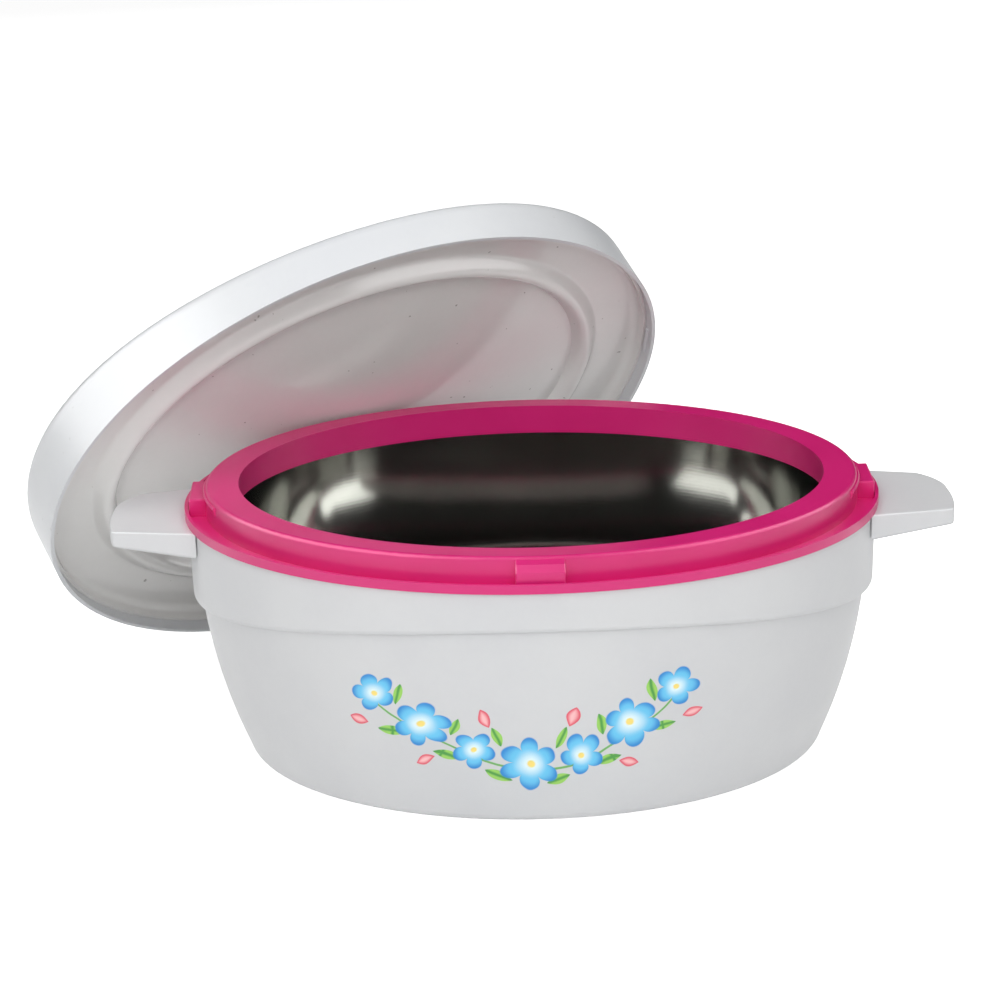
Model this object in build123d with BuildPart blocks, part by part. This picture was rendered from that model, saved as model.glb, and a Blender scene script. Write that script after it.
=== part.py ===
from build123d import *
import os

# An oval insulated serving casserole with its lid taken off: a white casing with two ear
# handles, a coloured rim ring, a steel bowl and foam between them, and a domed lid that
# stands on the table behind the pot and leans forward over its back rim.
# Millimetres. +X along the long axis, +Y to the back, +Z up, origin under the middle
# of the base on the table.

os.makedirs("parts", exist_ok=True)

# ---- the oval ----
OVAL = 0.82               # short axis over long axis, shared by every ring and wall
COLLAR_HALF = 154.5       # outside of the ring's raised collar, which sets the pot's size

# ---- outer casing ----
WALL = 2.4                # moulded wall
STEP_HALF = COLLAR_HALF + 5.3   # half length of the wall where the band begins
FOOT_HALF = STEP_HALF - 26.8    # half length of the base where it meets the table
HEEL_HALF = FOOT_HALF + 6.1     # half length where the base corner has turned into the wall
HEEL_HEIGHT = 5.0
BELLY_HALF = STEP_HALF - 6.0    # half length half way up the curved wall
BELLY_HEIGHT = 50.0
STEP_HEIGHT = 98.0
CASING_TOP = 117.4        # top of the casing, where the rim ring sits
BAND_LOW_HALF = STEP_HALF + 2.8 # half length of the raised band at its low ends
BAND_LOW_HEIGHT = 78.0
BAND_TOP_HALF = BAND_LOW_HALF + 0.9   # half length of the raised band at the casing top
ARCH_MIDDLE = 98.4        # the band's lower edge is an arch, high in the middle
ARCH_END = 75.7
ARCH_REACH = BAND_TOP_HALF + 6.5
BAND_EDGE_ROUND = 2.4
BASE_FLOOR = 3.0          # thickness of the flat base
BASE_TRIM = 0.1           # the foot is turned this much too long, then cut off flat

# ---- fill plug in the base ----
PLUG_AT = 60.0            # along +X from the middle of the base
PLUG_RADIUS = 8.8
PLUG_SUNK = 0.4           # the plug sits a little inside the base
PLUG_CLEARANCE = 0.1

# ---- ear handles ----
EAR_ROOT = STEP_HALF - 1.8
EAR_TIP = EAR_ROOT + 42.0       # farthest point of a handle from the middle
EAR_TIP_MIDDLE = -9.0     # the tip's edge bows out a little around here
EAR_BACK_BULGE = (EAR_TIP - 3.4, 17.5)
EAR_ROOT_HALF_BACK = 37.0
EAR_ROOT_HALF_FRONT = 36.5
EAR_BACK_TURN = EAR_TIP - 12.0  # where the straight back edge starts to round off
EAR_BACK_HALF = 29.4
EAR_FRONT_CORNER = EAR_TIP - 2.4
EAR_FRONT_HALF = 29.6
EAR_TIP_DEPTH = 7.6       # depth of the handle's side at its tip and at its root
EAR_ROOT_DEPTH = 12.6
EAR_WALL = 2.3
EAR_CORNER_ROUND = 2.5
EAR_TOP_ROUND = 0.8
EAR_LOW_ROUND = 1.6

# ---- rim ring ----
RING_BOTTOM = CASING_TOP
LIP_HALF = COLLAR_HALF + 10.5   # outside of the low lip that covers the casing's top edge
LIP_TOP = 121.8
LIP_THICK = 1.7
CHANNEL_FLOOR = 119.0     # floor of the channel between the lip and the collar
COLLAR_TOP = 132.0
COLLAR_ROUND = 1.8
MOUTH_ROUND = 1.2
LIP_ROUND = 0.7
OPENING_HALF = COLLAR_HALF - 15.5     # the mouth, at the collar's top inner edge
THROAT_HALF = OPENING_HALF + 1.8      # the mouth where the steel bowl begins
RING_WALL = 1.9
LOCATING_RIB = 5.0        # how far the ring's rib reaches down inside the casing
RIB_OUTER = COLLAR_HALF + 5.7
RIB_INNER = RIB_OUTER - 1.8

# ---- blocks, bosses and catches on the ring ----
BLOCK_FACE = COLLAR_HALF + 7.6  # flat outer face of each end block
BLOCK_HALF = 14.8
BLOCK_TOP = 127.3
BOSS_HALF = 11.0
BOSS_REACH = 5.6          # how far a boss stands out from the collar
BOSS_TOP = COLLAR_TOP - 1.0
BOSS_BEVEL_TOP = COLLAR_TOP - 2.6
BOSS_BEVEL_LOW = COLLAR_TOP - 5.8
BOSS_BEVEL_REACH = 3.2
CATCH_HALF = 37.0         # the catches run this far to each side of the blocks
CATCH_TOP = COLLAR_TOP - 2.0
CATCH_LOW = COLLAR_TOP - 6.5
CATCH_REACH = 1.5

# ---- steel bowl ----
STEEL = 0.8
BOWL_MOUTH = THROAT_HALF + 0.5  # inside half length under the ring
BOWL_TOP = RING_BOTTOM - 0.1
BOWL_RIM = BOWL_MOUTH + 3.7     # the turned-out rim, clamped under the ring's inner wall
BOWL_SHOULDER = BOWL_MOUTH - 4.3      # inside half length where the wall starts to turn in
BOWL_SHOULDER_HEIGHT = 62.0
BOWL_TURN = BOWL_SHOULDER - 15.0
BOWL_TURN_HEIGHT = 34.0
BOWL_FLOOR_HALF = BOWL_TURN - 30.0
BOWL_FLOOR_HEIGHT = 25.0

# ---- foam in the pot ----
FOAM_GAP = 0.15

# ---- lid, in its own frame: z = 0 at the rim, z up towards the crown ----
LID_HALF = 168.5
LID_SKIN = 2.0
LID_CROWN = 36.8          # height of the crown along its ridge and at the two ends
LID_CROWN_DROP = 12.7     # how much lower the crown is at the middle of the long sides
LID_VAULT_SPARE = 20.0    # the vault's cutter runs this far past the lid's sides
LID_SHOULDER_ROUND = 7.0
LID_SHOULDER_INNER = 5.4
SNAP_HALF = 9.0           # snap rib inside the skirt at each end
SNAP_PROUD = 1.3
SNAP_LOW = 3.0
SNAP_HIGH = 5.4

# ---- lid liner ----
LINER_HALF = LID_HALF - LID_SKIN - 0.1
LINER_THICK = 2.0
LINER_SKIRT = 1.5
LINER_TIP = 6.5           # how near the liner's edge comes to the rim plane
SEAT_DEPTH = 14.2         # the channel floor that rests on the collar top
SEAT_CORNER_ROUND = 5.5
RIDGE_OUTER = LID_HALF - 28.0
RIDGE_CREST = LID_HALF - 34.3
RIDGE_INNER = LID_HALF - 41.1
RIDGE_CREST_DEPTH = 9.0
PANEL_EDGE_DEPTH = 15.6
PANEL_MIDDLE_DEPTH = 9.8  # the panel bulges gently towards the rim plane
LID_FOAM_GAP = 0.1

# ---- fill plug in the lid liner ----
LID_PLUG_AT = (42.0, 58.0)
LID_PLUG_RADIUS = 6.0
LID_PLUG_LOW = 12.3
LID_PLUG_HIGH = 17.4

# ---- where the lid stands ----
LID_TOUCH = -86.0         # along X, where the liner leans against the pot's back lip
LID_BEHIND = -7.2687      # the lid's middle from the lip there, towards the back
LIP_BACK = OVAL * (LIP_HALF ** 2 - LID_TOUCH ** 2) ** 0.5
LID_PLACE = (-82.8, LIP_BACK + LID_BEHIND, 116.95)
LID_HEADING = 29.51
LID_LEAN = 56.71
LID_TURN = -12.41

ROUGH = 400.0             # longer than anything here, for cutting tools


def turned(face):
    """Turn a half profile about the upright axis, still round."""
    return revolve(face, axis=Axis.Z)


def squeezed(round_solid):
    """Squeeze a round solid to the oval shared by the whole casserole."""
    return scale(round_solid, by=(1, OVAL, 1))


def wall_profile(inset, floor):
    """Half profile of the curved wall: foot, belly, and on up to the casing top."""
    with BuildSketch(Plane.XZ) as profile:
        with BuildLine():
            foot = (FOOT_HALF - inset, floor)
            heel = (HEEL_HALF - inset, floor + HEEL_HEIGHT)
            belly = (BELLY_HALF - inset, BELLY_HEIGHT)
            step = (STEP_HALF - inset, STEP_HEIGHT)
            top = (STEP_HALF + 1.2 - inset, CASING_TOP)
            Line((0, floor), foot)
            TangentArc(foot, heel, tangent=(1, 0))
            ThreePointArc(heel, belly, step)
            Polyline(step, top, (0, CASING_TOP), (0, floor))
        make_face()
    return profile.sketch


def band_profile(inset):
    """Half profile of the raised band before its lower edge is cut to the arch."""
    with BuildSketch(Plane.XZ) as profile:
        with BuildLine():
            Polyline(
                (BAND_LOW_HALF - 14.0, BAND_LOW_HEIGHT - 6.0),
                (BAND_LOW_HALF - inset - 0.15, BAND_LOW_HEIGHT - 6.0),
                (BAND_TOP_HALF - inset, CASING_TOP),
                (BAND_LOW_HALF - 14.0, CASING_TOP),
                close=True,
            )
        make_face()
    return profile.sketch


def under_arch(rise):
    """Everything below the arched lower edge of the band, front to back."""
    with BuildSketch(Plane.XZ) as below:
        with BuildLine():
            left = (-ARCH_REACH, ARCH_END + rise)
            right = (ARCH_REACH, ARCH_END + rise)
            ThreePointArc(left, (0, ARCH_MIDDLE + rise), right)
            Polyline(right, (ARCH_REACH, -ROUGH), (-ARCH_REACH, -ROUGH), left)
        make_face()
    return extrude(below.sketch, amount=ROUGH, both=True)


def band_form(inset):
    """The raised band, still round, with its lower edge cut to the arch."""
    return turned(band_profile(inset)) - under_arch(inset)


def long_low_edges(band):
    """The edges along the outside of the band's arched lower edge."""
    low = band.edges().filter_by(lambda e: e.bounding_box().max.Z < CASING_TOP - 1)
    return low.filter_by(
        lambda e: ((e @ 0.5).X ** 2 + (e @ 0.5).Y ** 2) ** 0.5 > BAND_LOW_HALF - 1
    )


def ear_outline(shrink):
    """Plan of the right-hand handle; the same handle mirrored serves the left."""
    with BuildSketch(Plane.XY.offset(CASING_TOP)) as plan:
        with BuildLine():
            back_root = (EAR_ROOT, EAR_ROOT_HALF_BACK - shrink)
            back_turn = (EAR_BACK_TURN, EAR_BACK_HALF - shrink)
            bulge = (EAR_BACK_BULGE[0] - shrink, EAR_BACK_BULGE[1] - shrink)
            tip_back = (EAR_TIP - 0.5 - shrink, 3.0)
            tip = (EAR_TIP - shrink, EAR_TIP_MIDDLE)
            front = (EAR_FRONT_CORNER - shrink, -EAR_FRONT_HALF + shrink)
            front_root = (EAR_ROOT, -EAR_ROOT_HALF_FRONT + shrink)
            Line(back_root, back_turn)
            ThreePointArc(back_turn, bulge, tip_back)
            ThreePointArc(tip_back, tip, front)
            Polyline(front, front_root, back_root)
        make_face()
        corner = plan.vertices().sort_by_distance((front[0], front[1], 0))[0]
        fillet(corner, EAR_CORNER_ROUND)
    return plan.sketch


def ear_solid():
    """A handle's solid form, its underside sloping up towards the tip."""
    block = extrude(ear_outline(0), amount=-20)
    with BuildSketch(Plane.XZ) as under:
        with BuildLine():
            Polyline(
                (EAR_ROOT - 5, CASING_TOP - EAR_ROOT_DEPTH - 0.6),
                (EAR_TIP + 5, CASING_TOP - EAR_TIP_DEPTH + 0.6),
                (EAR_TIP + 5, 0),
                (EAR_ROOT - 5, 0),
                close=True,
            )
        make_face()
    return block - extrude(under.sketch, amount=ROUGH, both=True)


# ---- outer casing: one moulding with both handles ----
band_outside = band_form(0)
band_outside = fillet(long_low_edges(band_outside), BAND_EDGE_ROUND)
hull = squeezed(turned(wall_profile(0, -BASE_TRIM)) + band_outside)
below_base = Pos(0, 0, -ROUGH / 2) * Box(ROUGH, ROUGH, ROUGH)
cavity = squeezed(turned(wall_profile(WALL, BASE_FLOOR)) + band_form(WALL))

ear_block = ear_solid()
ear_block = fillet(ear_block.faces().sort_by(Axis.Z)[-1].edges(), EAR_TOP_ROUND)
ear_block = fillet(ear_block.faces().sort_by(Axis.Z)[0].edges(), EAR_LOW_ROUND)
ear_hollow = extrude(Pos(0, 0, -WALL) * ear_outline(EAR_WALL), amount=-30)
ear_right = ear_block - ear_hollow
ear_left = mirror(ear_right, about=Plane.YZ)

with BuildPart() as outer_casing:
    add(hull, clean=False)
    add(ear_right, clean=False)
    add(ear_left, clean=False)
    add(cavity, clean=False, mode=Mode.SUBTRACT)
    add(below_base, clean=False, mode=Mode.SUBTRACT)
    with BuildSketch(Plane.XY):
        with Locations((PLUG_AT, 0)):
            Circle(PLUG_RADIUS + PLUG_CLEARANCE)
    extrude(amount=BASE_FLOOR + 1, clean=False, mode=Mode.SUBTRACT)
outer_casing.part.label = "outer casing"
export_step(outer_casing.part, "parts/outer_casing.step")


# ---- fill plug pressed into the base ----
with BuildPart() as base_plug:
    with BuildSketch(Plane.XY.offset(PLUG_SUNK)):
        with Locations((PLUG_AT, 0)):
            Circle(PLUG_RADIUS)
    extrude(amount=BASE_FLOOR - PLUG_SUNK)
    fillet(base_plug.faces().sort_by(Axis.Z)[0].edges(), 0.5)
base_plug.part.label = "base fill plug"
export_step(base_plug.part, "parts/base_plug.step")


# ---- rim ring: lip, channel, raised collar and throat in one moulding ----
with BuildSketch(Plane.XZ) as ring_section:
    with BuildLine():
        Polyline(
            (THROAT_HALF, RING_BOTTOM),
            (LIP_HALF, RING_BOTTOM),
            (LIP_HALF, LIP_TOP),
            (LIP_HALF - LIP_THICK, LIP_TOP),
            (LIP_HALF - LIP_THICK - 0.2, CHANNEL_FLOOR),
            (COLLAR_HALF + 0.6, CHANNEL_FLOOR),
            (COLLAR_HALF, COLLAR_TOP),
            (OPENING_HALF, COLLAR_TOP),
            close=True,
        )
    make_face()
    corners = ring_section.vertices()
    fillet(corners.sort_by_distance((COLLAR_HALF, COLLAR_TOP))[0], COLLAR_ROUND)
    fillet(corners.sort_by_distance((OPENING_HALF, COLLAR_TOP))[0], MOUTH_ROUND)
    fillet(corners.sort_by_distance((LIP_HALF, LIP_TOP))[:2], LIP_ROUND)
    with BuildLine():
        Polyline(
            (THROAT_HALF + RING_WALL, RING_BOTTOM - 1),
            (COLLAR_HALF + 0.6 - RING_WALL, RING_BOTTOM - 1),
            (COLLAR_HALF - RING_WALL, COLLAR_TOP - RING_WALL),
            (OPENING_HALF + RING_WALL, COLLAR_TOP - RING_WALL),
            close=True,
        )
    make_face(mode=Mode.SUBTRACT)
    with Locations((RIB_INNER, RING_BOTTOM - LOCATING_RIB)):
        Rectangle(RIB_OUTER - RIB_INNER, LOCATING_RIB + 0.5, align=Align.MIN)

with BuildSketch(Plane.XZ) as catch_section:
    with BuildLine():
        Polyline(
            (COLLAR_HALF - 1, CATCH_LOW),
            (COLLAR_HALF + 0.3, CATCH_LOW),
            (COLLAR_HALF + CATCH_REACH, CATCH_TOP - 1.0),
            (COLLAR_HALF + CATCH_REACH - 0.6, CATCH_TOP),
            (COLLAR_HALF - 1, CATCH_TOP),
            close=True,
        )
    make_face()
catch_reach = Box(ROUGH, 2 * CATCH_HALF, ROUGH)
catches = squeezed(turned(catch_section.sketch)) & catch_reach

collar_front = OVAL * COLLAR_HALF
with BuildSketch(Plane.YZ) as boss_section:
    with BuildLine():
        Polyline(
            (-collar_front + 0.9, CHANNEL_FLOOR - 0.5),
            (-collar_front - BOSS_REACH, CHANNEL_FLOOR - 0.5),
            (-collar_front - BOSS_REACH, BOSS_BEVEL_LOW),
            (-collar_front - BOSS_BEVEL_REACH, BOSS_BEVEL_TOP),
            (-collar_front + 0.9, BOSS_TOP),
            close=True,
        )
    make_face()
front_boss = extrude(boss_section.sketch, amount=BOSS_HALF, both=True)
boss_sides = front_boss.edges().filter_by(
    lambda e: abs(abs((e @ 0.5).X) - BOSS_HALF) < 0.01 and (e @ 0.5).Y < -collar_front - 0.5
)
front_boss = chamfer(boss_sides.filter_by(lambda e: (e @ 0.5).Z > CHANNEL_FLOOR), 0.5)
back_boss = mirror(front_boss, about=Plane.XZ)

block_inner = COLLAR_HALF - 1.4
block_length = BLOCK_FACE - block_inner
block_height = BLOCK_TOP - CHANNEL_FLOOR + 0.5
block = Pos(block_inner + block_length / 2, 0, BLOCK_TOP - block_height / 2) * Box(
    block_length, 2 * BLOCK_HALF, block_height
)
block = chamfer(block.edges().filter_by(lambda e: (e @ 0.5).Z > CHANNEL_FLOOR
                                        and (e @ 0.5).X > block_inner + 0.1), 0.5)

ring_body = squeezed(turned(ring_section.sketch))
left_block = mirror(block, about=Plane.YZ)
with BuildPart() as rim_ring:
    add(ring_body)
    add(block, clean=False)
    add(left_block, clean=False)
    add(front_boss, clean=False)
    add(back_boss, clean=False)
    add(catches, clean=False)
rim_ring.part.label = "rim ring"
export_step(rim_ring.part, "parts/rim_ring.step")


# ---- steel bowl ----
def bowl_line(skin):
    """Half section of the bowl's inside, let out by the given skin."""
    with BuildSketch(Plane.XZ) as section:
        with BuildLine():
            floor = (BOWL_FLOOR_HALF, BOWL_FLOOR_HEIGHT - skin)
            turn = (BOWL_TURN + 0.7 * skin, BOWL_TURN_HEIGHT - 0.7 * skin)
            shoulder = (BOWL_SHOULDER + skin, BOWL_SHOULDER_HEIGHT)
            mouth = (BOWL_MOUTH + skin, BOWL_TOP)
            Line((0, BOWL_FLOOR_HEIGHT - skin), floor)
            ThreePointArc(floor, turn, shoulder)
            Polyline(shoulder, mouth, (0, BOWL_TOP), (0, BOWL_FLOOR_HEIGHT - skin))
        make_face()
    return section.sketch


with BuildSketch(Plane.XZ) as bowl_section:
    add(bowl_line(STEEL))
    with Locations((BOWL_RIM - 2, BOWL_TOP - STEEL)):
        Rectangle(4, 2 * STEEL)
    add(bowl_line(0), mode=Mode.SUBTRACT)

bowl_body = squeezed(turned(bowl_section.sketch))
with BuildPart() as steel_bowl:
    add(bowl_body)
steel_bowl.part.label = "steel bowl"
export_step(steel_bowl.part, "parts/steel_bowl.step")


# ---- foam between the casing and the bowl, risen into the hollow of the ring ----
foam_height = BOWL_TOP - 2 * STEEL - FOAM_GAP
rib_low = RING_BOTTOM - LOCATING_RIB - FOAM_GAP
tongue_inner = BOWL_RIM + FOAM_GAP
tongue_outer = COLLAR_HALF - RING_WALL - FOAM_GAP
tongue_top = COLLAR_TOP - RING_WALL - 1


with BuildSketch(Plane.XZ) as above_foam:
    with BuildLine():
        Polyline(
            (0, foam_height),
            (RIB_INNER - FOAM_GAP, foam_height),
            (RIB_INNER - FOAM_GAP, rib_low),
            (ROUGH / 2, rib_low),
            (ROUGH / 2, ROUGH / 2),
            (0, ROUGH / 2),
            close=True,
        )
    make_face()

with BuildSketch(Plane.XZ) as foam_core:
    add(wall_profile(WALL, BASE_FLOOR))
    add(above_foam.sketch, mode=Mode.SUBTRACT)
    add(bowl_line(STEEL), mode=Mode.SUBTRACT)
    with BuildLine():
        Polyline(
            (tongue_inner, foam_height - 3),
            (tongue_outer, foam_height - 3),
            (tongue_outer, tongue_top),
            (tongue_inner, tongue_top),
            close=True,
        )
    make_face()

with BuildSketch(Plane.XZ) as foam_belt:
    add(band_profile(WALL))
    add(above_foam.sketch, mode=Mode.SUBTRACT)

foam_body = turned(foam_core.sketch) + (turned(foam_belt.sketch) - under_arch(WALL))
foam_body = squeezed(foam_body)
with BuildPart() as body_foam:
    add(foam_body)
body_foam.part.label = "body foam"
export_step(body_foam.part, "parts/body_foam.step")


# ---- lid, built level in its own frame ----
def lid_form(half, crown, corner_round, low):
    """A round solid with a barrel-vaulted top, standing on the plane z = low."""
    with BuildSketch(Plane.XY.offset(low)) as plan:
        Circle(half)
    column = extrude(plan.sketch, amount=ROUGH / 4)
    with BuildSketch(Plane.YZ) as over:
        with BuildLine():
            reach = half + LID_VAULT_SPARE
            eaves = crown - LID_CROWN_DROP * (reach / half) ** 2
            ThreePointArc((-reach, eaves), (0, crown), (reach, eaves))
            Polyline((reach, eaves), (reach, ROUGH), (-reach, ROUGH), (-reach, eaves))
        make_face()
    vault = column - extrude(over.sketch, amount=ROUGH, both=True)
    top_edge = vault.edges().filter_by(lambda e: (e @ 0.5).Z > low + 3 and e.length > ROUGH / 4)
    return fillet(top_edge, corner_round)


lid_outside = lid_form(LID_HALF, LID_CROWN, LID_SHOULDER_ROUND, 0)
lid_inside = lid_form(
    LID_HALF - LID_SKIN, LID_CROWN - LID_SKIN, LID_SHOULDER_INNER, -1
)
snap_outer = LID_HALF - LID_SKIN / 2
snap_inner = LID_HALF - LID_SKIN - SNAP_PROUD
snap = Pos((snap_outer + snap_inner) / 2, 0, (SNAP_LOW + SNAP_HIGH) / 2) * Box(
    snap_outer - snap_inner, 2 * SNAP_HALF, SNAP_HIGH - SNAP_LOW
)
snap = chamfer(snap.faces().sort_by(Axis.X)[0].edges(), 0.5)

standing = (
    Pos(*LID_PLACE) * Rot(0, 0, LID_HEADING) * Rot(-LID_LEAN, 0, 0) * Rot(0, 0, LID_TURN)
)

shell_body = squeezed(lid_outside - lid_inside)
left_snap = mirror(snap, about=Plane.YZ)
with BuildPart() as lid_shell:
    add(shell_body)
    add(snap, clean=False)
    add(left_snap, clean=False)
lid_shell.part.label = "lid shell"
lid_shell.part.move(standing)
export_step(lid_shell.part, "parts/lid_shell.step")


# ---- lid liner: seat channel round the edge, ridge, and bulged middle panel ----
def liner_line(lift, outer, tip, corner_round):
    """Half section of everything under the liner's face that is lifted by the given skin."""
    with BuildSketch(Plane.XZ) as section:
        with BuildLine():
            middle = (0, PANEL_MIDDLE_DEPTH + lift)
            halfway = (RIDGE_INNER / 2, (3 * PANEL_MIDDLE_DEPTH + PANEL_EDGE_DEPTH) / 4 + lift)
            edge = (RIDGE_INNER, PANEL_EDGE_DEPTH + lift)
            crest = (RIDGE_CREST, RIDGE_CREST_DEPTH + lift)
            foot = (RIDGE_OUTER, SEAT_DEPTH + lift)
            corner = (outer, SEAT_DEPTH + lift)
            ThreePointArc(middle, halfway, edge)
            ThreePointArc(edge, crest, foot)
            Polyline(foot, corner, (outer, tip), (0, tip), middle)
        make_face()
        fillet(section.vertices().sort_by_distance(corner)[0], corner_round)
    return section.sketch


with BuildSketch(Plane.XZ) as liner_section:
    add(liner_line(LINER_THICK, LINER_HALF, LINER_TIP, SEAT_CORNER_ROUND + 1))
    add(liner_line(0, LINER_HALF - LINER_SKIRT, -1, SEAT_CORNER_ROUND), mode=Mode.SUBTRACT)

with BuildSketch(Plane.XY) as plug_room:
    # drawn long across, so that it comes out circular once the lid is squeezed
    with Locations((LID_PLUG_AT[0], LID_PLUG_AT[1] / OVAL)):
        Ellipse(LID_PLUG_RADIUS + PLUG_CLEARANCE, (LID_PLUG_RADIUS + PLUG_CLEARANCE) / OVAL)
liner_hole = extrude(plug_room.sketch, amount=LID_CROWN)
foam_hole = extrude(plug_room.sketch, amount=LID_PLUG_HIGH + LID_FOAM_GAP)

liner_body = squeezed(turned(liner_section.sketch) - liner_hole)
with BuildPart() as lid_liner:
    add(liner_body)
lid_liner.part.label = "lid liner"
lid_liner.part.move(standing)
export_step(lid_liner.part, "parts/lid_liner.step")


# ---- foam inside the lid ----
foam_skin = LID_SKIN + LID_FOAM_GAP
liner_back = liner_line(LINER_THICK + LID_FOAM_GAP, LID_HALF, -5, SEAT_CORNER_ROUND + 1)
foam_block = lid_form(LID_HALF - foam_skin, LID_CROWN - foam_skin, LID_SHOULDER_INNER, 0)
foam_fill = squeezed(foam_block - turned(liner_back) - foam_hole)
with BuildPart() as lid_foam:
    add(foam_fill)
lid_foam.part.label = "lid foam"
lid_foam.part.move(standing)
export_step(lid_foam.part, "parts/lid_foam.step")


# ---- fill plug in the lid liner ----
with BuildPart() as lid_plug:
    with BuildSketch(Plane.XY.offset(LID_PLUG_LOW)):
        with Locations(LID_PLUG_AT):
            Circle(LID_PLUG_RADIUS)
    extrude(amount=LID_PLUG_HIGH - LID_PLUG_LOW)
    chamfer(lid_plug.faces().sort_by(Axis.Z)[0].edges(), 0.6)
lid_plug.part.label = "lid fill plug"
lid_plug.part.move(standing)
export_step(lid_plug.part, "parts/lid_plug.step")
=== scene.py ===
# %% [markdown]
# # An oval insulated casserole, with its lid leaning behind it
# This lesson dresses a finished engineering model. The engineering solids give the sizes
# and say which pieces move together. Here each visible surface gets its real finish, and
# the three surfaces that need a finer skin are worked out again as smooth grids.

# %% Load the engineering model
import math
import bmesh
import bpy
import numpy as np
from mathutils import Matrix, Vector


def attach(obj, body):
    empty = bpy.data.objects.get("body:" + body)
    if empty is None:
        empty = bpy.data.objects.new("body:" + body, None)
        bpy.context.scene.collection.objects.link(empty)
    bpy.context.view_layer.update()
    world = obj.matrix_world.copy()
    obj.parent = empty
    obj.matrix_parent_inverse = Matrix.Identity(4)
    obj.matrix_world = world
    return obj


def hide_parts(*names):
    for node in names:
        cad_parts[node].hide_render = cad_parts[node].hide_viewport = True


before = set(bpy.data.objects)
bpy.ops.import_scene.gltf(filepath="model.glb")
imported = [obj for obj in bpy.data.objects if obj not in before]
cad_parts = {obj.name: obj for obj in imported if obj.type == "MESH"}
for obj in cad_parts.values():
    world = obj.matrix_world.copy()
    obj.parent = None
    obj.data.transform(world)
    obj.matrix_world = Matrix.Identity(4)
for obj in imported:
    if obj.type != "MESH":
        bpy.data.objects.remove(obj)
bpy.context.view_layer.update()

# %% [markdown]
# ## Measurements
# Every ring and wall of the pot is the same oval, 0.82 times as wide as it is long, so a
# ring is fully described by its half length and its height. Sizes are written in
# millimetres, the way a maker notes them, and become metres once, when a mesh is made.

# %% Shared sizes in millimetres
MM = 0.001                            # one millimetre in metres
OVAL = 0.82                           # width over length
CASING_TOP = 117.4                    # where the ring sits on the casing
LID_PLACE = Vector((-82.8, 108.2, 116.95)) * MM
LID_TURNS = (29.51, -56.71, -12.41)   # heading, lean and turn in its own plane, degrees
print("the lid stands at", tuple(round(v, 4) for v in LID_PLACE))

# %% [markdown]
# ## Writing shader sums the way they are written on paper
# A material's pattern is arithmetic on coordinates. Wiring each sum by hand hides the idea,
# so a small class wraps a socket: `a * b + 1` on two wrapped sockets adds the Math nodes.


# %% A number that adds its own Math nodes
class Value:
    """A number carried by a socket; sums on it add Math nodes to the same material."""

    def __init__(self, sheet, socket):
        self.sheet, self.socket = sheet, socket

    def operate(self, operation, *others):
        return self.sheet.node("ShaderNodeMath", {"operation": operation}, self, *others)

    def __add__(self, other): return self.operate("ADD", other)
    def __sub__(self, other): return self.operate("SUBTRACT", other)
    def __mul__(self, other): return self.operate("MULTIPLY", other)
    def __truediv__(self, other): return self.operate("DIVIDE", other)
    def __radd__(self, other): return self + other
    def __rmul__(self, other): return self * other
    def __rsub__(self, other): return self * -1.0 + other
    def power(self, other): return self.operate("POWER", other)
    def larger(self, other): return self.operate("MAXIMUM", other)
    def smaller(self, other): return self.operate("MINIMUM", other)
    def angle(self, other): return self.operate("ARCTAN2", other)
    def size(self): return self.operate("ABSOLUTE")
    def sine(self): return self.operate("SINE")
    def cosine(self): return self.operate("COSINE")
    def root(self): return self.operate("SQRT")

    def fade(self, start, end):
        """0 at start, 1 at end, held beyond them, and a smooth ramp between."""
        return self.sheet.node("ShaderNodeMapRange",
                               {"interpolation_type": "SMOOTHSTEP", "clamp": True},
                               Value=self, **{"From Min": start, "From Max": end})


print("a wrapped socket knows:", [name for name in vars(Value) if not name.startswith("_")])

# %% [markdown]
# ## One material as one sheet of paper
# Every other node comes from one method that takes the node's type, its settings, which are
# set first, and the values or links of its inputs. A material's own helpers stand on it:
# where the point lies, noise, a mix of two colours, and the two ways to reach the shader.

# %% A material and the nodes it grows
MIX_INPUTS, MIX_RESULT = (0, 6, 7), 2   # a colour Mix node's factor, A and B, and its result


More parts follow.
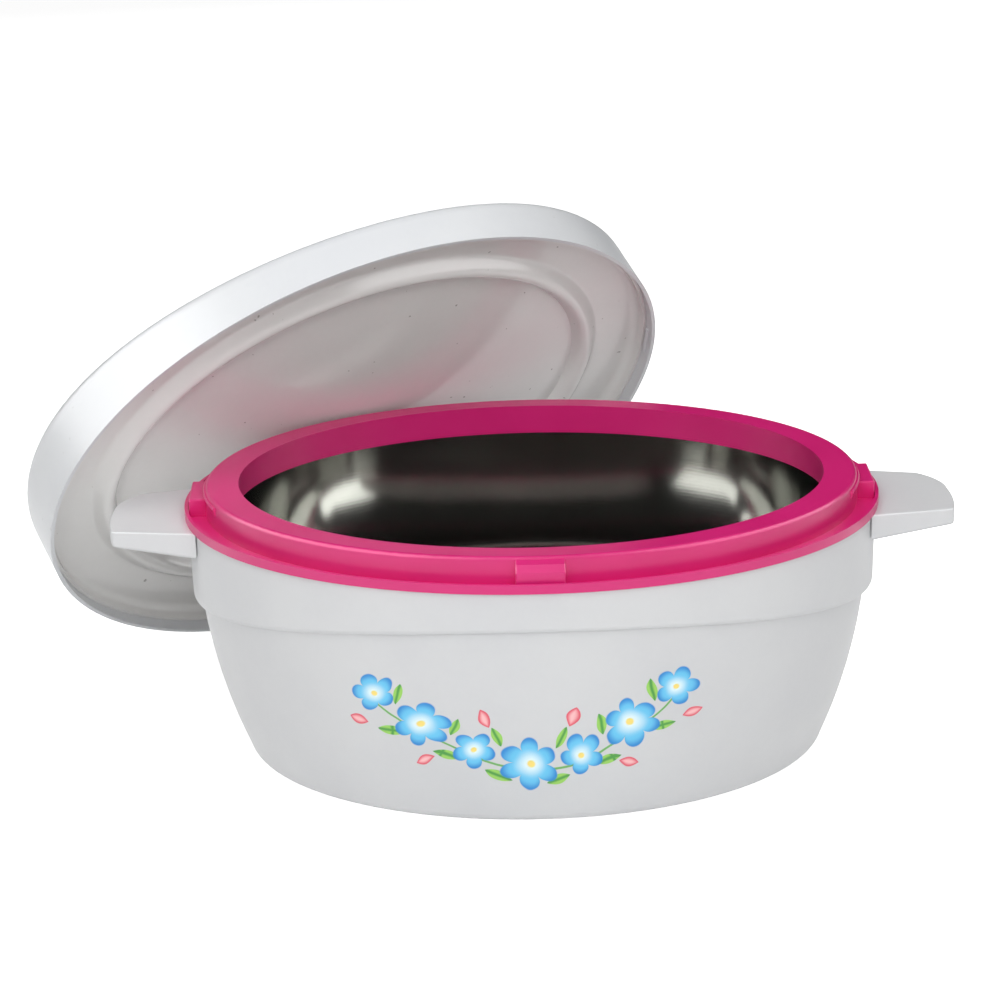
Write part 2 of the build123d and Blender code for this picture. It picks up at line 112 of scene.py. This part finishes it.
class Sheet:
    """One material: its Principled shader and every node that the expressions add."""

    def __init__(self, name, **constants):
        self.material = bpy.data.materials.new(name)
        self.material.use_nodes = True
        self.tree = self.material.node_tree
        self.shader = self.tree.nodes["Principled BSDF"]
        for socket, value in constants.items():
            self.shader.inputs[socket].default_value = value

    def fill(self, socket, value):
        """Link a wrapped socket, or write a plain value into the input."""
        if isinstance(value, Value):
            self.tree.links.new(value.socket, socket)
        else:
            socket.default_value = value

    def node(self, kind, settings=None, *ordered, out=0, **named):
        made = self.tree.nodes.new(kind)
        for key, value in (settings or {}).items():
            setattr(made, key, value)
        for socket, value in zip(made.inputs, ordered):
            self.fill(socket, value)
        for key, value in named.items():
            self.fill(made.inputs[key], value)
        return Value(self, made.outputs[out])

    def place(self):
        """Where the point lies on the piece, in millimetres, as three numbers."""
        metres = self.node("ShaderNodeTexCoord", out="Object")
        self.where = self.node("ShaderNodeVectorMath", {"operation": "SCALE"}, metres,
                               Scale=1.0 / MM)
        split = self.node("ShaderNodeSeparateXYZ", None, self.where)
        return [Value(self, out) for out in split.socket.node.outputs]

    def noise(self, scale, detail=3.0, rough=0.5):
        """Noise round 0.5; a scale of 0.05 makes patches about 1 / 0.05 = 20 mm across."""
        return self.node("ShaderNodeTexNoise", None, Vector=self.where, Scale=scale,
                         Detail=detail, Roughness=rough)

    def mix(self, mask, first, second):
        """The first colour where the mask is 0, the second where it is 1."""
        made = self.node("ShaderNodeMix", {"data_type": "RGBA"}, out=MIX_RESULT)
        for index, value in zip(MIX_INPUTS, (mask, first, second)):
            self.fill(made.socket.node.inputs[index], value)
        return made

    def feed(self, socket, value):
        self.fill(self.shader.inputs[socket], value)

    def bump(self, height, distance):
        """Raise the surface by height times a distance in metres, in the shading only."""
        self.feed("Normal", self.node("ShaderNodeBump", None, Strength=1.0,
                                      Distance=distance, Height=height))


print("a sheet knows:", [name for name in vars(Sheet) if not name.startswith("_")])

# %% [markdown]
# ## Colours and how a piece puts them on
# A screen shows colours on a curve, but a shader adds up light, so each colour is written
# as a screen shows it and straightened once.


# %% Straightened colours, and dressing a piece
def colour(red, green, blue):
    """Screen levels 0 to 255 into light: level / 12.92 when dark, otherwise
    ((level + 0.055) / 1.055) to the power 2.4."""
    levels = np.array([red, green, blue]) / 255.0
    linear = np.where(levels <= 0.04045, levels / 12.92, ((levels + 0.055) / 1.055) ** 2.4)
    return tuple(float(v) for v in linear) + (1.0,)


def dress(piece, sheet):
    """Put a finish on a piece in place of whatever it wore."""
    piece.data.materials.clear()
    piece.data.materials.append(sheet.material)
    print(piece.name, "wears", sheet.material.name, "with", len(sheet.tree.nodes), "nodes")


print("a pale grey in shader units:", colour(218, 220, 222)[:3])

# %% [markdown]
# ## Smooth oval surfaces
# A bowl or a lid is one half section carried round an oval. Giving each point of the
# section its own half length and half width lets a ridge keep an even distance from the
# rim, which a plain squeeze of a round shape can't do. The mesh then has its poles closed
# and its faces turned outwards, and only edges sharper than a set angle stay crisp.

# %% A half section carried round an oval
AROUND = 288                          # points round each ring
MERGE = 1e-7                          # metres; closes a pole without touching real detail
CRISP = math.radians(40)              # edges sharper than this keep their line


def finished_mesh(name, points, faces):
    """Put points and faces into a mesh object, close its poles and smooth its shading."""
    mesh = bpy.data.meshes.new(name)
    mesh.from_pydata(points.tolist(), [], faces.tolist())
    piece = bpy.data.objects.new(name, mesh)
    bpy.context.scene.collection.objects.link(piece)
    work = bmesh.new()
    work.from_mesh(mesh)
    bmesh.ops.remove_doubles(work, verts=work.verts, dist=MERGE)
    bmesh.ops.recalc_face_normals(work, faces=work.faces)
    work.to_mesh(mesh)
    work.free()
    mesh.polygons.foreach_set("use_smooth", np.ones(len(mesh.polygons), bool))
    mesh.set_sharp_from_angle(angle=CRISP)
    print(name, "faces", len(mesh.polygons))
    return piece


def oval_surface(name, section):
    """Rings in order along the section: the point at angle t of the ring (a, b, z) is
    (a cos t, b sin t, z). A ring with a = b = 0 closes into one point."""
    a, b, z = (np.asarray(section, float).T * MM)[:, :, None]
    t = np.linspace(0, 2 * np.pi, AROUND, endpoint=False)[None, :]
    points = np.stack([a * np.cos(t), b * np.sin(t), z + 0 * t], axis=-1)
    index = np.arange(len(section) * AROUND).reshape(len(section), AROUND)
    after = np.roll(index, -1, axis=1)
    quads = np.stack([index[:-1], after[:-1], after[1:], index[1:]], axis=-1).reshape(-1, 4)
    return finished_mesh(name, points.reshape(-1, 3), quads)


print("each ring has", AROUND, "points")

# %% [markdown]
# ## The steel bowl
# The real bowl is drawn from one sheet of stainless steel, polished like a mirror, with a
# narrow rim turned out and clamped under the ring. A mirror shows every facet, so the bowl
# is a fine grid: a flat floor, one long arc up to the shoulder, and a nearly upright wall.

# %% Sizes of the bowl
STEEL = 0.8                           # thickness of the sheet
BOWL_TOP = CASING_TOP - 0.1
# Inside corners as (half length, height), and which way each moves as the sheet thickens.
BOWL_CORNERS = [((92, 25), (0, -1)), ((122, 34), (0.7, -0.7)),
                ((137, 62), (1, 0)), ((141.3, BOWL_TOP), (1, 0))]
RIM_INSIDE, RIM_TIP, RIM_UNDER = 142.0, 145.0, 142.4   # half lengths of the turned-out rim
RIM_DROP = 2 * STEEL
FLOOR_STEPS, ARC_STEPS, WALL_STEPS = 12, 48, 24
print("the bowl is", 2 * BOWL_CORNERS[-1][0][0], "mm long inside its mouth")


# %% Work out the bowl
def bowl_half_section(skin):
    """Floor, arc and wall of the bowl let out by a skin. The arc is the circle through the
    floor's end, the turn and the shoulder: its centre is as far from all three."""
    floor, turn, shoulder, mouth = (np.array(corner, float) + skin * np.array(way)
                                    for corner, way in BOWL_CORNERS)
    chords = np.array([turn - floor, shoulder - floor]) * 2
    centre = np.linalg.solve(chords, [turn @ turn - floor @ floor,
                                      shoulder @ shoulder - floor @ floor])
    radius = np.linalg.norm(floor - centre)
    first, last = (math.atan2(*(p - centre)[::-1]) for p in (floor, shoulder))
    s = np.linspace(first, last, ARC_STEPS)
    arc = centre + radius * np.stack([np.cos(s), np.sin(s)], axis=1)
    reach = np.linspace(0, floor[0], FLOOR_STEPS)[:-1]
    flat = np.stack([reach, np.full_like(reach, floor[1])], axis=1)
    wall = shoulder + (mouth - shoulder) * np.linspace(0, 1, WALL_STEPS)[1:, None]
    return np.vstack([flat, arc, wall])


rolled = [(RIM_INSIDE, BOWL_TOP), (RIM_TIP, BOWL_TOP), (RIM_TIP, BOWL_TOP - RIM_DROP),
          (RIM_UNDER, BOWL_TOP - RIM_DROP)]
half = np.vstack([bowl_half_section(0), rolled, bowl_half_section(STEEL)[::-1][1:]])
steel_skin = oval_surface("steel_bowl_skin",
                          np.stack([half[:, 0], half[:, 0] * OVAL, half[:, 1]], axis=1))
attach(steel_skin, "pot")
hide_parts("steel_bowl")

# %% [markdown]
# ## Standing a piece with the lid, and rounding a corner
# The lid leans, but it is far easier to work out level. So a piece of the lid is built in
# the lid's own frame, with its rim at height 0, and its points are turned once at the end.
# Its section has one rounded corner, which a short curve between two straight runs gives.


# %% The lid's own frame, and a rounded corner
def standing(piece):
    """Turn the points of a piece built level: turn in its plane, lean, heading, place."""
    heading, lean, turn = (math.radians(v) for v in LID_TURNS)
    piece.data.transform(Matrix.Translation(LID_PLACE) @ Matrix.Rotation(heading, 4, "Z")
                         @ Matrix.Rotation(lean, 4, "X") @ Matrix.Rotation(turn, 4, "Z"))
    return piece


def rounded(before, corner, after, radius, steps):
    """The curve (1 - s)^2 start + 2 s (1 - s) corner + s^2 end, from a radius before the
    corner to a radius after it, or to half way along a shorter run."""
    before, corner, after = (np.array(p, float) for p in (before, corner, after))
    start, end = (corner + (far - corner) * min(radius / np.linalg.norm(far - corner), 0.499)
                  for far in (before, after))
    s = np.linspace(0, 1, steps)[:, None]
    return (1 - s) ** 2 * start + 2 * s * (1 - s) * corner + s ** 2 * end


print("the lid leans", -LID_TURNS[1], "degrees from level")

# %% [markdown]
# ## The lid's underside
# The liner is a second moulding snapped into the shell. Near the edge it has a flat channel
# that seats on the pot's collar; inside that runs a rounded ridge, and inside the ridge the
# middle panel bulges gently. The ridge keeps nearly the same distance from the rim all the
# way round, so each ring of the section has its own half length and half width.

# %% Sizes of the liner
SKIRT = np.array((164.9, 135.2))      # half length and half width of the liner's skirt
SKIRT_SPREAD = np.array((0.75, 0.6))  # how much of a let-out goes into each of the two
SKIRT_TIP, SEAT, SEAT_ROUND, ROUND_STEPS = 6.5, 14.2, 6.5, 9
SEAT_RINGS = [(150, 120.6, 14.5), (142.6, 113.4, 14.7)]
RIDGE_FOOT, RIDGE_RUN = (141.3, 112.2, 14.7), (13.9, 14.2, -0.9)
RIDGE_TALL, RIDGE_SKEW, RIDGE_BROAD = 7.0, 1.35, 0.95
PANEL_HALVES, PANEL_MIDDLE, PANEL_BULGE = (127.0, 97.6), 9.8, 5.8
LINER_THICK = 2.0
print("the ridge stands", RIDGE_TALL, "mm proud of the channel")


# %% Work out the liner, then stand it where the lid stands
def liner_rings(lift):
    """Half section of the liner's face, let out by lift: the skirt and its rounded corner,
    the seat, the ridge as tall * sin(pi u^skew)^broad, the panel as a parabola."""
    wide, deep = SKIRT + SKIRT_SPREAD * lift
    seat = np.array(SEAT_RINGS) + (0, 0, lift)
    tip, corner = (wide, deep, SKIRT_TIP), (wide, deep, SEAT + lift)
    edge = np.vstack([tip, rounded(tip, corner, seat[0], SEAT_ROUND, ROUND_STEPS), seat])
    u = np.linspace(0, 1, 25)[:, None]
    ridge = np.array(RIDGE_FOOT) - u * RIDGE_RUN
    ridge[:, 2:] += lift - RIDGE_TALL * np.sin(np.pi * u ** RIDGE_SKEW) ** RIDGE_BROAD
    s = np.linspace(1, 0, 30)[1:, None]
    panel = np.hstack([s * PANEL_HALVES, PANEL_MIDDLE + lift + PANEL_BULGE * s ** 2])
    return np.vstack([edge, ridge, panel])


liner_section = np.vstack([liner_rings(LINER_THICK)[::-1], liner_rings(0.0)])
liner_skin = standing(oval_surface("lid_liner_skin", liner_section))
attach(liner_skin, "lid")
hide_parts("lid_liner")

# %% [markdown]
# ## The foam behind the liner
# The foam is poured between shell and liner, so it has taken the liner's shape: the same
# rings, let out a little more than the liner's thickness, without the skirt, and closed
# over the top by a low dome.

# %% Work out the lid's foam
FOAM_LET_OUT = 2.6
SKIRT_RINGS = 1 + ROUND_STEPS         # the first rings of the liner, which foam never fills
DOME_HALVES, DOME_FOOT, DOME_RISE = (163.0, 133.0), 21.9, 12.0
s = np.linspace(0, 1, 24)[:, None]
dome = np.hstack([s * DOME_HALVES, DOME_FOOT + DOME_RISE * (1 - s ** 2)])
foam_section = np.vstack([dome, liner_rings(FOAM_LET_OUT)[SKIRT_RINGS:]])
foam_skin = standing(oval_surface("lid_foam_skin", foam_section))
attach(foam_skin, "lid")
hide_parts("lid_foam")

# %% [markdown]
# ## Flowers and leaves as sums
# A transfer print is ink on the plastic, with no thickness, so it belongs in the material.
# Each petal ring and each leaf is a formula of where the point lies, which stays sharp at
# any distance. A formula gives a number that crosses 1 at the shape's edge, and the
# smallest number of several shapes is the number of all of them together.


# %% Formulas for a blossom and a leaf
def blossom(u, z, at, radius, petals, turn):
    """How far out a point lies in one blossom: distance from the middle over the petal's
    reach in that direction, R (0.52 + 0.48 |cos(n angle / 2)| ** 0.6), and over R itself."""
    across, up = u - at[0], z - at[1]
    out = (across * across + up * up).root()
    lobe = (up.angle(across) * (petals / 2) + turn).cosine().size().power(0.6)
    return out / ((lobe * 0.48 + 0.52) * radius), out / radius


def leaf(u, z, at, length, width, lean):
    """Below 1 inside a pointed leaf: |across| / width + (along / length) squared. The
    second value is the distance from the leaf's midrib over its width."""
    cos, sin = math.cos(math.radians(lean)), math.sin(math.radians(lean))
    along = (u - at[0]) * (cos / length) + (z - at[1]) * (sin / length)
    across = ((z - at[1]) * (cos / width) - (u - at[0]) * (sin / width)).size()
    return across + along * along, across


def nearest(values):
    """The smallest of several numbers, which belongs to the shape that the point is in."""
    least = values[0]
    for value in values[1:]:
        least = least.smaller(value)
    return least


print("shapes to print with:", blossom.__name__, "and", leaf.__name__)

# %% [markdown]
# ## The garland
# The garland hangs like a smile and is the same to both sides of its middle, so only half
# of it is listed and the sideways distance is folded there. Two slow noises bend the
# coordinates a little, so that the two halves aren't exact twins.

# %% Where its parts lie, in millimetres
# A place is (sideways from the garland's middle, height above the table).
BLOSSOMS = [((0.0, 33.0), 13.5, 6, 1.571), ((25.0, 38.0), 10.5, 5, 1.1),
            ((47.0, 50.5), 12.5, 6, 0.9), ((68.0, 67.0), 10.0, 5, 0.2)]
LEAVES = [((13.0, 25.5), 6.5, 2.6, 20), ((15.0, 46.0), 5.5, 2.2, 62),
          ((37.0, 34.0), 6.0, 2.4, 12), ((33.5, 51.0), 5.6, 2.3, 110),
          ((60.5, 47.0), 6.5, 2.5, 8), ((57.0, 66.0), 5.4, 2.2, 100)]
BUDS = [((20.5, 55.5), 5.0, 2.7, 70), ((46.0, 31.0), 4.6, 2.5, -20),
        ((74.5, 52.0), 4.8, 2.6, 15)]
GARLAND_MIDDLE = -7.0                 # the garland's middle along the pot
STEM_LOW, STEM_CURVE, STEM_END = 30.0, 0.0071, 72.0
PRINT_FROM, PRINT_FULL = -56.0, -60.0   # the print keeps to the front of the pot
INKS = {"stem": colour(108, 172, 92), "leaf rib": colour(70, 150, 62),
        "leaf": colour(150, 205, 92), "bud": colour(247, 190, 192),
        "bud edge": colour(222, 78, 98), "petal": colour(226, 246, 252),
        "petal middle": colour(104, 198, 238), "petal edge": colour(28, 128, 205),
        "heart": colour(246, 222, 120)}
print("inks:", ", ".join(INKS))


# %% Print it over a plain tone
def printed_front(sheet, x, y, z, plain):
    """Lay each ink over the last, back to front: stem, leaves, buds, blossoms."""
    u = (x - GARLAND_MIDDLE + (sheet.noise(0.045, 2.0) - 0.5) * 7.0).size()
    z = z + (sheet.noise(0.03, 1.0, rough=0.3) - 0.5) * 9.0
    stem = (z - u * u * STEM_CURVE - STEM_LOW).size().fade(0.75, 0.45)
    stem = stem * u.fade(STEM_END, STEM_END - 2.0)
    inked = sheet.mix(stem, plain, INKS["stem"])
    green, rib = map(nearest, zip(*[leaf(u, z, *each) for each in LEAVES]))
    leafy = sheet.mix(rib.fade(0.05, 0.5), INKS["leaf rib"], INKS["leaf"])
    inked = sheet.mix(green.fade(1.04, 0.94), inked, leafy)
    coral = nearest([leaf(u, z, *each)[0] for each in BUDS])
    rosy = sheet.mix(coral.fade(0.1, 0.95), INKS["bud"], INKS["bud edge"])
    inked = sheet.mix(coral.fade(1.05, 0.93), inked, rosy)
    reach, out = map(nearest, zip(*[blossom(u, z, *each) for each in BLOSSOMS]))
    pale = sheet.mix(out.fade(0.12, 0.62), INKS["petal"], INKS["petal middle"])
    petal = sheet.mix((out * 0.55 + reach * 0.45).fade(0.62, 1.0), pale, INKS["petal edge"])
    petal = sheet.mix(out.fade(0.17, 0.10), petal, INKS["heart"])
    inked = sheet.mix(reach.fade(1.03, 0.96), inked, petal)
    return sheet.mix(y.fade(PRINT_FROM, PRINT_FULL), plain, inked)


print("the garland has", 2 * len(BLOSSOMS) - 1, "blossoms")

# %% [markdown]
# ## White moulded plastic
# Casings like this are injection moulded with a faint satin texture. On a real one no two
# places are quite the same: the tone drifts slowly, the gloss varies with the mould's
# polish, and a very fine grain breaks up the highlights. The plug in the base is moulded
# from the same resin.


# %% White plastic for the casing and the base plug
def moulded_tone(sheet, light, dark):
    """Tone that drifts between two whites over centimetres, with a finer mottle on top."""
    drift, mottle = sheet.noise(0.018, 4.0), sheet.noise(0.35, 3.0)
    return sheet.mix((drift * 0.85 + mottle * 0.15).fade(0.3, 0.7), dark, light)


casing_sheet = Sheet("white_moulding", IOR=1.47)
x, y, z = casing_sheet.place()
tone = moulded_tone(casing_sheet, colour(209, 210, 211), colour(204, 205, 207))
casing_sheet.feed("Base Color", printed_front(casing_sheet, x, y, z, tone))
casing_sheet.feed("Roughness", casing_sheet.noise(0.05, 3.0) * 0.12 + 0.38)
casing_sheet.bump(casing_sheet.noise(0.9, 3.0) + casing_sheet.noise(0.012, 1.0) * 3.0, 0.00004)
dress(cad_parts["outer_casing"], casing_sheet)
dress(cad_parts["base_plug"], casing_sheet)

# %% [markdown]
# ## The lid's plastic
# The lid is the same white resin from a better polished mould, so it is glossier. The
# underside has the small dark specks that ground-up scrap leaves in the resin, and slow
# waves where the thick ridge cooled after the thin panel. Its white is painted lighter
# than the top's: painted light that lifts the shade of a face turned down.


# %% White plastic for the lid
def lid_plastic(name, light, dark, gloss, specks):
    """A moulded white with a given gloss; specks, 0 to 1, says how strongly they show."""
    sheet = Sheet(name, IOR=1.49)
    sheet.place()
    tone = moulded_tone(sheet, light, dark)
    dots = sheet.noise(0.22, 2.0).fade(0.735, 0.765) * specks
    sheet.feed("Base Color", sheet.mix(dots, tone, colour(150, 148, 142)))
    sheet.feed("Roughness", sheet.noise(0.06, 3.0) * 0.12 + gloss)
    sheet.bump(sheet.noise(0.5, 1.0) * 0.2 + sheet.noise(0.008, 1.0) * 4.0, 0.00003)
    return sheet


shell_sheet = lid_plastic("lid_moulding", colour(214, 216, 218), colour(209, 211, 214), 0.28, 0.2)
# Painted light: the underside's white is lighter than the shell's, to lift the shade of a face
# turned down.
liner_sheet_painted_lighter = lid_plastic("lid_underside", colour(230, 229, 227), colour(225, 224, 222), 0.10, 0.8)
dress(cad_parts["lid_shell"], shell_sheet)
dress(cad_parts["lid_plug"], shell_sheet)
dress(liner_skin, liner_sheet_painted_lighter)

# %% [markdown]
# ## The magenta ring
# The ring is coloured right through. The pigment swirls faintly in the direction in which
# the resin flowed, and the mould leaves an even, slightly soft gloss.

# %% Magenta plastic for the ring
ring_sheet = Sheet("magenta_moulding", IOR=1.5)
ring_sheet.place()
swirl = ring_sheet.noise(0.03, 1.0).fade(0.2, 0.8)
ring_sheet.feed("Base Color", ring_sheet.mix(swirl, colour(204, 24, 109), colour(209, 28, 114)))
ring_sheet.feed("Roughness", ring_sheet.noise(0.03, 2.0) * 0.06 + 0.29)
ring_sheet.bump(ring_sheet.noise(0.4, 1.0) * 0.2 + ring_sheet.noise(0.01, 1.0) * 1.5, 0.00002)
dress(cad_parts["rim_ring"], ring_sheet)

# %% [markdown]
# ## Polished steel
# After drawing, the bowl is spun against a buffing wheel. The wheel leaves hair-fine rings,
# too shallow to see one by one, that soften each highlight. A stripe whose phase grows with
# height and with distance from the middle follows those rings up the wall and over the floor.

# %% Buffed stainless steel
steel_sheet = Sheet("polished_steel", Metallic=1.0)
x, y, z = steel_sheet.place()
outward = (x * x + y * y * (1 / OVAL ** 2)).root()
rings = ((z * 1.6 + outward * 1.1) * 2.3 + steel_sheet.noise(0.05, 2.0) * 5.0).sine()
fine = steel_sheet.noise(0.6, 4.0)
cloud = steel_sheet.noise(0.03, 3.0).fade(0.35, 0.65)
steel_sheet.feed("Base Color", steel_sheet.mix(cloud, colour(172, 173, 169), colour(180, 180, 176)))
steel_sheet.feed("Roughness", fine * 0.03 + rings * 0.004 + 0.08)
steel_sheet.bump(rings * 0.02 + fine * 0.12 + steel_sheet.noise(0.012, 1.0) * 14.0, 0.00002)
dress(steel_skin, steel_sheet)

# %% [markdown]
# ## Foam
# The rigid foam between the shells can't be seen on the finished casserole, but it is one of
# its pieces, so it gets its own look: cream, with the small cells that poured foam has.

# %% Poured foam
foam_sheet = Sheet("foam", Roughness=0.9)
foam_sheet.place()
cells = foam_sheet.node("ShaderNodeTexVoronoi", None, Vector=foam_sheet.where, Scale=0.9)
foam_sheet.feed("Base Color", foam_sheet.mix(cells.fade(0.1, 0.6), colour(232, 220, 186),
                                             colour(244, 236, 208)))
foam_sheet.bump(cells, 0.0003)
dress(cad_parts["body_foam"], foam_sheet)
dress(foam_skin, foam_sheet)

# %% [markdown]
# ## The floor
# The casserole stands on a pale floor that runs on to every side, past the edges of the
# view. It must look white without lighting up the object, so its glow is switched on only
# for rays that show it: rays from the camera, from a mirror, and through glass. To every
# other ray it is plain pale paper that catches a shadow.

# %% A pale floor that shows as white
SHOWN = ("Is Camera Ray", "Is Glossy Ray", "Is Transmission Ray")
FLOOR_HALF = 7                        # metres
FLOOR_GLOW = 0.88                     # with the light on the paper, this comes to white


def flat_sheet(name, corners):
    """A stage piece with four corners, given in metres."""
    piece = finished_mesh(name, np.array(corners, float), np.array([[0, 1, 2, 3]]))
    return piece


floor = flat_sheet("floor", [(FLOOR_HALF * x, FLOOR_HALF * y, 0)
                             for x, y in ((-1, -1), (1, -1), (1, 1), (-1, 1))])
floor_sheet = Sheet("floor", Roughness=0.85)
floor_sheet.place()
shown = floor_sheet.node("ShaderNodeLightPath", out=SHOWN[0])
for kind in SHOWN[1:]:
    shown = shown.larger(floor_sheet.node("ShaderNodeLightPath", out=kind))
paper = floor_sheet.mix(floor_sheet.noise(0.01, 3.0), colour(224, 224, 224), colour(228, 228, 228))
floor_sheet.feed("Base Color", paper)
floor_sheet.feed("Emission Color", floor_sheet.mix(shown, (0, 0, 0, 1), (1, 1, 1, 1)))
floor_sheet.feed("Emission Strength", FLOOR_GLOW)
dress(floor, floor_sheet)

# %% [markdown]
# ## Dark cards and a dim room
# Polished steel shows whatever is around it, and in a white room the bowl would look like
# white enamel. So a dark card hangs overhead and another stands behind, and both are
# hidden from the camera, which sees only what they do to the steel.

# %% Cards and room
CARDS = {"card_overhead": [(-1.1, -0.7, 0.95), (-1.1, 1.6, 0.95),
                           (1.1, 1.6, 0.95), (1.1, -0.7, 0.95)],
         "card_behind": [(-2.5, 2.6, 0.02), (2.5, 2.6, 0.02),
                         (2.5, 2.6, 2.2), (-2.5, 2.6, 2.2)]}
ROOM_LIGHT = 0.15
card_sheet = Sheet("dark_card", Roughness=0.9)
card_sheet.place()
card_sheet.feed("Base Color", card_sheet.mix(card_sheet.noise(0.01, 2.0), colour(18, 18, 19),
                                             colour(24, 24, 25)))
for name, corners in CARDS.items():
    card = flat_sheet(name, corners)
    card.visible_camera = False
    dress(card, card_sheet)

room = bpy.data.worlds.new("room")
bpy.context.scene.world = room
room.use_nodes = True
sky = room.node_tree.nodes["Background"]
sky.inputs["Color"].default_value = (1, 1, 1, 1)
sky.inputs["Strength"].default_value = ROOM_LIGHT
print("the room glows at", ROOM_LIGHT)

# %% [markdown]
# ## The lamps
# Two jobs are kept apart. Strips at both sides are seen only in mirrors: they put the bright
# patches into the steel and a sheen on the plastic. Fills are seen only by matt surfaces:
# they set how pale the casing, the lid and the ring come out. Each can then be set
# without spoiling the other.

# %% Strips for mirrors, fills for surfaces
AIM = Vector((0.0, 0.0, 0.1))
# name, place and size in metres, power in watts, what it serves
LAMPS = [("left_strip", (-0.80, -0.25, 0.68), (2.0, 1.2), 40.0, "mirrors"),
         ("right_strip", (0.84, -0.20, 0.68), (1.8, 1.1), 26.0, "mirrors"),
         ("left_fill", (-1.3, -1.1, 0.8), (0.8, 1.0), 2.5, "surfaces"),
         ("right_fill", (1.3, -1.1, 0.8), (0.8, 1.0), 2.0, "surfaces"),
         ("front_fill", (0.0, -1.6, 1.05), (1.7, 0.9), 13.0, "surfaces"),
         ("low_fill", (0.0, -2.0, 0.35), (1.8, 0.5), 4.0, "surfaces"),
         ("top_fill", (0.0, -0.1, 0.9), (1.4, 1.2), 9.0, "surfaces"),
         ("back_fill", (-0.3, 1.9, 0.9), (1.8, 0.9), 9.0, "surfaces")]


def softbox(name, place, size, power, serves):
    """A rectangular lamp, turned to face the casserole, that serves mirrors or surfaces."""
    lamp = bpy.data.lights.new(name, "AREA")
    lamp.shape = "RECTANGLE"
    lamp.size, lamp.size_y = size
    lamp.energy = power
    stand = bpy.data.objects.new(name, lamp)
    bpy.context.scene.collection.objects.link(stand)
    stand.visible_glossy = serves == "mirrors"
    stand.visible_diffuse = serves == "surfaces"
    stand.location = place
    stand.rotation_euler = (AIM - Vector(place)).to_track_quat("-Z", "Y").to_euler()


for lamp in LAMPS:
    softbox(*lamp)
print("lamps:", [lamp[0] for lamp in LAMPS])

# %% [markdown]
# ## The camera
# The camera looks slightly down from the front. Its aim is written as three angles, a point
# of the casserole that it turns about and a distance. It is then moved a little to the
# left and up, so that the pot and the lid together sit well in the frame.

# %% Place the camera
ELEVATION, HEADING, ROLL = (math.radians(v) for v in (17.6005, 0.8987, -1.3101))
FOCUS = np.array((0.0, 0.0, 0.07))
DISTANCE = 1.6                        # metres to the focus
FRAME_WIDE, FILM = 1000, 36.0         # width of the frame in points, of the film in mm
LENS = 3323.2                         # focal length in points of the frame
SHIFT = np.array((33.3658, -94.9195)) / LENS
ahead = np.array((math.sin(HEADING) * math.cos(ELEVATION),
                  math.cos(HEADING) * math.cos(ELEVATION), -math.sin(ELEVATION)))
level = np.array((math.cos(HEADING), -math.sin(HEADING), 0.0))
above = np.cross(level, ahead)
side = level * math.cos(ROLL) + above * math.sin(ROLL)
top = above * math.cos(ROLL) - level * math.sin(ROLL)
stand = FOCUS - DISTANCE * (ahead + SHIFT[0] * side + SHIFT[1] * top)
camera = bpy.data.objects.new("camera", bpy.data.cameras.new("camera"))
bpy.context.scene.collection.objects.link(camera)
camera.data.sensor_width = FILM
camera.data.lens = FILM * LENS / FRAME_WIDE
camera.matrix_world = Matrix(np.vstack([np.stack([side, top, -ahead, stand], axis=1),
                                        (0, 0, 0, 1)]).tolist())
bpy.context.scene.camera = camera
bpy.context.scene.view_settings.view_transform = "Standard"
print("camera at", stand.round(3), "lens", round(camera.data.lens, 2), "mm")

# %% [markdown]
